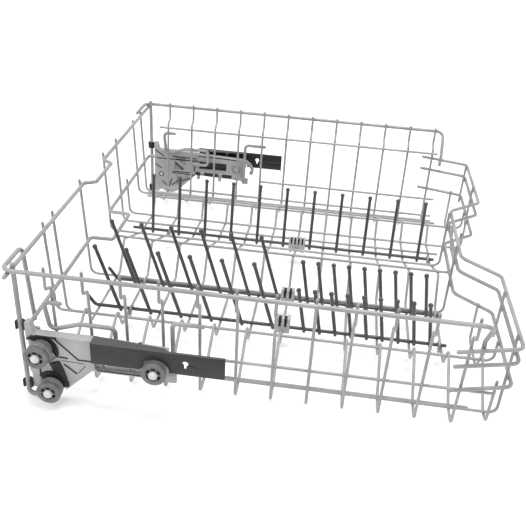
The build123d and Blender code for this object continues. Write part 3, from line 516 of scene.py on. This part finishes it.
cross_ends = crossing(CROSS_X, each(CROSS_END_Y, [CROSS_END_RISE]))
domes = [beads(np.vstack([cross_ends, listed(FINE_ENDS)]), WIRE_R), beads(listed(RAIL_ENDS), RAIL_R),
         beads(listed(HEAVY_ENDS), RIM_R)]
piece("wire_end_domes", domes, "basket", "grey_coated_wire")
piece("post_end_domes", [beads(listed(POST_ENDS), POST_R)], "basket", "grey_coated_wire")


def row_ends(first, pitch, count, y, z, rod_ends):
    """A tine row's cut feet in even steps along x, and the ends of its rod."""
    feet = np.column_stack([first + pitch * np.arange(count), np.full(count, y), np.full(count, z)])
    return np.vstack([feet, rod_ends])


TINE_ENDS = {
    "front_left_tines": row_ends(-182.2, 36.7, 6, -113.3, 22.7, [(-223.1, -113.5, 40.5)]),
    "front_right_tines": row_ends(38.3, 18.35, 9, -112.8, 22.6, [(201.9, -113.5, 26.5)]),
    "middle_left_tines": row_ends(-182.2, 36.7, 6, -51.4, 22.7, [(-215.1, -51.5, 40.5)]),
    "middle_right_tines": row_ends(38.3, 18.35, 9, -51.0, 22.6, [(201.9, -51.5, 26.5)]),
    "rear_tines": row_ends(-193.8, 37.45, 11, 81.5, 26.6, [(-221.1, 82.0, 30.5), (201.9, 82.0, 30.5)]),
}
for row, ends in TINE_ENDS.items():
    piece(f"{row}_end_domes", [beads(ends, RAIL_R)], row, "dark_coated_wire")

# Roller carriers: points (x, z) from the first cross wire and the floor, and half widths of the inner
# face, the plate, its raised panel and the bosses
CARRIER = np.array([FIRST_X, FLOOR])
INNER, PLATE, PANEL, BOSS = 248.82, 252.82, 256.82, 259.82
AXLES = {
    "upper": CARRIER + [-10.4, 47.0],
    "lower": CARRIER + [-1.2, 4.0],
    "middle": CARRIER + [108.5, 45.0],
}
PEEP = CARRIER + [-13.9, 25.3]
# Profiles (radius, half width): cap on an axle, painted shade ring in a roller's face recess, ridges on
# its tread, painted shade of the well round the upper roller, sleeve round the lower one, the peep hole's
# plug and the ring of painted shade round it. Arcs are in degrees.
CAP = [(0, 276.2), (1.4, 276.1), (2.7, 275.6), (3.7, 274.8), (4.3, 273.8), (4.6, 272.6), (4.6, 272.3),
       (0, 272.3)]
FACE_SHADE_RING = [(4.75, 269.2), (7.65, 269.2), (7.65, 269.4), (4.75, 269.4), (4.75, 269.2)]
RIDGES = [[(11.8, y), (12.3, y + 0.25), (12.3, y + 0.95), (11.8, y + 1.2), (11.8, y)]
          for y in (261.4, 264.2)]
WELL = [(10.2, PLATE + 0.05), (16.4, PLATE + 0.05), (18.6, PANEL - 0.4), (18.6, PANEL + 0.25),
        (16.0, PANEL + 0.3), (15.3, PLATE + 0.7), (10.2, PLATE + 0.7)]
WELL_ARC = (-25, 140)
SLEEVE = [(9.6, PLATE + 0.05), (13.5, PLATE + 0.05), (17.2, PANEL - 0.4), (17.2, BOSS - 0.9),
          (16.6, BOSS - 0.3), (9.6, BOSS - 0.3)]
SLEEVE_ARC = (2, 140)
PEEP_RING = [(2.6, INNER + 0.4), (4.0, INNER + 0.4), (4.0, INNER - 0.12), (2.6, INNER - 0.12),
             (2.6, INNER + 0.4)]
PEEP_PLUG = [(0, INNER - 0.3), (1.8, INNER - 0.28), (2.5, INNER - 0.1), (2.5, INNER + 0.4),
             (0, INNER + 0.4)]
# The guides' section (radius, height) about the corner post, its (x, half width) and the guides' rises
GUIDE = [(2.85, -4.5), (5.1, -4.5), (5.3, -4.1), (5.3, 4.1), (5.1, 4.5), (2.85, 4.5)]
GUIDE_ARC = (60, 300)
GUIDE_RISES = (72.0, -1.5)
POST = (-239.5, 253.1)
# Lines on both faces: gaps, brake and window of the outer one, ribs and recesses of the inner one.
# Painted shade goes in the gaps, seams, ribs and recesses, and painted shadow under the ledge and the
# bar.
GROOVES = ([(4.5, 62.5), (27.6, 39.5), (43.8, 39.5)], [(7.5, 40.5), (17.0, 39.8)],
           [(12.2, 32.0), (25.3, 21.4)], [(-13.7, 24.0), (-13.6, 15.0)])
SEAMS = ([(9.8, 36.2), (33.6, 35.4)], [(35.0, 33.4), (27.0, 23.0)])
LEDGE_SHADOW = ([(-15.0, 64.4), (7.5, 64.4)],)
BAR_SHADOW = ([(46.0, 29.2), (115.0, 29.2)],)
RIB_SHADE_LINES = ([(-23.0, 52.5), (20.0, 52.5), (46.0, 53.0)], [(5.0, 32.0), (36.0, 31.6)],
        [(9.0, 46.0), (22.0, 35.5)], [(40.0, 44.0), (40.0, 35.0)], [(3.0, 7.5), (17.0, 18.7)],
        [(19.0, 15.0), (36.0, 24.4)], [(46.0, 61.5), (80.0, 61.5), (112.0, 60.5)],
        [(-24.0, 66.5), (-9.0, 55.5)], [(-24.0, 42.3), (-13.5, 35.4)], [(-13.0, 13.5), (-2.6, 3.6)],
        [(-1.4, 4.8), (3.0, 18.5)], [(4.0, 29.4), (41.0, 28.2)], [(4.0, 57.5), (43.0, 56.8)])
RECESSES = ([(42.0, 31.8), (49.8, 31.8)], [(56.2, 31.8), (78.6, 31.8)], [(85.4, 31.8), (101.0, 31.8)])
BLIND = ([(46.0, 45.0), (94.0, 45.0)],)
BRAKE = np.array([(8.6, 12.0), (6.0, 23.0), (2.2, 33.5)])
# Sizes of the bars along them: width and the two half widths that they fill
# Painted shade: near-black strips in the grooves and seams, and painted shadow under the ledge and the
# bar
GAP_SHADE = (
    (GROOVES, 2.1, PLATE + 0.1, PANEL + 0.08),
    (SEAMS, 0.8, PANEL - 0.5, PANEL + 0.06),
    (LEDGE_SHADOW, 2.8, PANEL - 0.5, PANEL + 1.68),
    (BAR_SHADOW, 1.8, PANEL - 0.5, PANEL + 0.08),
)
RIB_SHADE_SIZE = (1.7, INNER - 0.12, INNER + 0.5)
RECESS_SIZE = (5.6, INNER - 0.1, INNER + 0.5)
BLIND_SIZE = (17.0, PLATE + 0.1, PLATE + 0.9)
# The brake's half-round bar: width, half width of its base and rise
BRAKE_SIZE = (12.5, PANEL - 0.3, 2.9)


def clasp(side, height):
    """The guide's section swept about the corner post, by an arc that leaves its outer side open."""
    turn = np.radians(np.linspace(*GUIDE_ARC, CLASP_STEPS))[:, None]
    radius, up = np.array(GUIDE, dtype=float).T
    x, y = POST
    return capped(np.stack([x + radius * np.sin(turn), side * (y + radius * np.cos(turn)),
                            height + up + 0 * turn], -1))


def strips(lines, side, width, inner, outer):
    """Flat bars along a carrier's lines."""
    return [strip(CARRIER + line, side, width, inner, outer) for line in lines]


for side_name, side in zip(("left", "right"), SIDES):
    carrier = f"{side_name}_carrier"
    caps = [turned(place, side, CAP) for place in AXLES.values()]
    piece(f"{side_name}_axle_caps", caps, carrier, "axle_steel", cap_acetal)
    clasps = [clasp(side, FLOOR + rise) for rise in GUIDE_RISES]
    guides = piece(f"{side_name}_guide_clasps", clasps, carrier, "dark_plastic", black_and_painted_shade)
    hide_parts(f"{side_name}_post_guides")
    # The brake sleeve is a black part; the wheel well, the panel's gaps and the inner ribs get painted
    # shade
    dark = {
        # Painted shade: a near-black arc where the well round the upper roller lies in shadow
        "wheel_well": [arched(AXLES["upper"], side, WELL, *WELL_ARC)],
        "brake_sleeve": [arched(AXLES["lower"], side, SLEEVE, *SLEEVE_ARC),
                         crowned(CARRIER + BRAKE, side, *BRAKE_SIZE)],
        "panel_gaps": [bar for lines, *size in GAP_SHADE for bar in strips(lines, side, *size)],
        # Painted shade: near-black lines along the inner face's ribs and round the peep hole's plug
        "inner_ribs": strips(RIB_SHADE_LINES, side, *RIB_SHADE_SIZE) + [turned(PEEP, side, PEEP_RING)],
    }
    for name, parts in dark.items():
        piece(f"{side_name}_{name}", parts, carrier, "dark_plastic", black_and_painted_shade)
    plug = [turned(PEEP, side, PEEP_PLUG)]
    piece(f"{side_name}_peep_plug", plug, carrier, "grey_plastic", cap_acetal)
    # Painted shade: dark strips in the inner face's recesses
    piece(f"{side_name}_inner_recess_shade", strips(RECESSES, side, *RECESS_SIZE), carrier, "dark_plastic")
    piece(f"{side_name}_window_blind", strips(BLIND, side, *BLIND_SIZE), carrier, "dark_plastic")
    for name, place in AXLES.items():
        roller = f"{side_name}_{name}_roller"
        ridges = [turned(place, side, ridge) for ridge in RIDGES]
        piece(f"{roller}_ridges", ridges, roller, "roller_plastic", ridge_acetal)
        # Painted shade: a near-black ring in the recess of the roller's face
        piece(f"{roller}_recess", [turned(place, side, FACE_SHADE_RING)], roller, "dark_plastic", black_and_painted_shade)

# Centre clips: y, length, width of a slot, slots, and how far the fins stand over the solid ones
CLIPS = ((-113.5, 17.0, 3.0, 2, 6.5), (-51.5, 17.0, 3.0, 2, 6.5), (82.0, 23.0, 2.2, 4, 3.0))
CLIP_X = FIRST_X + 222.0
# The slots' floor over the cross wire, and how much narrower the painted slot shade and the fins are than
# their gaps
SLOT_RISE, CLEAR = 5.9, 0.1
# Painted slot shade: top of the low part and foot of the high part over the slots' floor, the height from
# which the high part follows the fins, and the half depths of both
LOW_TOP, HIGH_FOOT, HIGH_TOP, LOW_HALF, HIGH_HALF = 3.9, 3.8, 3.0, 5.55, 3.6
# Fins: foot over the slots' floor, height without what stands over the solid ones, depth, and the
# power that squares their section
FIN_FOOT, FIN_HIGH, FIN_DEEP, FIN_SQUARE = 3.5, 1.0, 9.6, 0.45
# Shares of a fin's section near its tip, and how far under the tip they lie
FIN_SHARES, FIN_DROPS = (1, 0.9, 0.7, 0), (1.5, 0.6, 0.1, 0)


def finger(x, y, low, high, width, depth):
    """An upright fin: a squared circle that narrows towards its top, drawn to a pole at both ends."""
    turn = whole_turn(FIN_STEPS)
    ring = np.stack([np.cos(turn), np.sin(turn)], 1)
    ring = np.sign(ring) * np.abs(ring) ** FIN_SQUARE * [width / 2, depth / 2]
    size = np.array([0, 1, *FIN_SHARES])[:, None]
    height = np.array([low, low, *(high - np.array(FIN_DROPS))])[:, None]
    return skin(np.stack([x + size * ring[:, 0], y + size * ring[:, 1], height + 0 * turn], -1))


def clip_foot(y):
    """Height of the slots' floor in a clip."""
    return FLOOR + on_floor(np.array([y]))[0, 1] + SLOT_RISE


def clip_steps(pitch, count):
    """Even steps along x about a clip's middle."""
    return CLIP_X + pitch * (np.arange(count) - (count - 1) / 2)


def slot_shade_bars(y, length, slot, count, over):
    """Painted shade in a clip's slots: even steps along the clip, each a near-black bar across it in two
    depths.
    """
    steps = clip_steps((length + slot) / (count + 1), count)
    low = clip_foot(y)
    parts = ((low, low + LOW_TOP, LOW_HALF), (low + HIGH_FOOT, low + HIGH_TOP + over, HIGH_HALF))
    return [strip([(x, foot), (x, top)], 1, slot - CLEAR, y - half, y + half)
            for foot, top, half in parts for x in steps]


def clip_fins(y, length, slot, count, over):
    """Fins that carry on a clip's fins between its slots: even steps along the clip, each a finger."""
    pitch = (length + slot) / (count + 1)
    low = clip_foot(y) + FIN_FOOT
    return [finger(x, y, low, low + FIN_HIGH + over, pitch - slot - CLEAR, FIN_DEEP)
            for x in clip_steps(pitch, count + 1)]


slot_shade = [bar for clip in CLIPS for bar in slot_shade_bars(*clip)]
fins = [fin for clip in CLIPS for fin in clip_fins(*clip)]
# Painted shade: near-black bars fill the clip slots
piece("clip_slot_shade", slot_shade, "basket", "dark_plastic", black_and_painted_shade)
piece("clip_fins", fins, "basket", "grey_plastic")

# Floor: half its size in metres, and the strength of its own light
PAPER_HALF, PAPER_GLOW = 6, 0.28
CORNERS = [(-1, -1), (1, -1), (1, 1), (-1, 1)]
floor_mesh = bpy.data.meshes.new("floor")
floor_mesh.from_pydata([(x * PAPER_HALF, y * PAPER_HALF, 0) for x, y in CORNERS], [], [(0, 1, 2, 3)])
floor = bpy.data.objects.new("floor", floor_mesh)
bpy.context.scene.collection.objects.link(floor)
# Matte paper on a light table: lit a little from below, so that shadows stay faint
paper = moulded("matte_paper", "#DCDCDC", "#E0E0E0", rough=(0.8, 0.9), grain_mm=3.0, bump_mm=0.0)
paper_shader = paper.node_tree.nodes["Principled BSDF"]
paper_shader.inputs["Emission Color"].default_value = (1, 1, 1, 1)
paper_shader.inputs["Emission Strength"].default_value = PAPER_GLOW
floor_mesh.materials.append(paper)
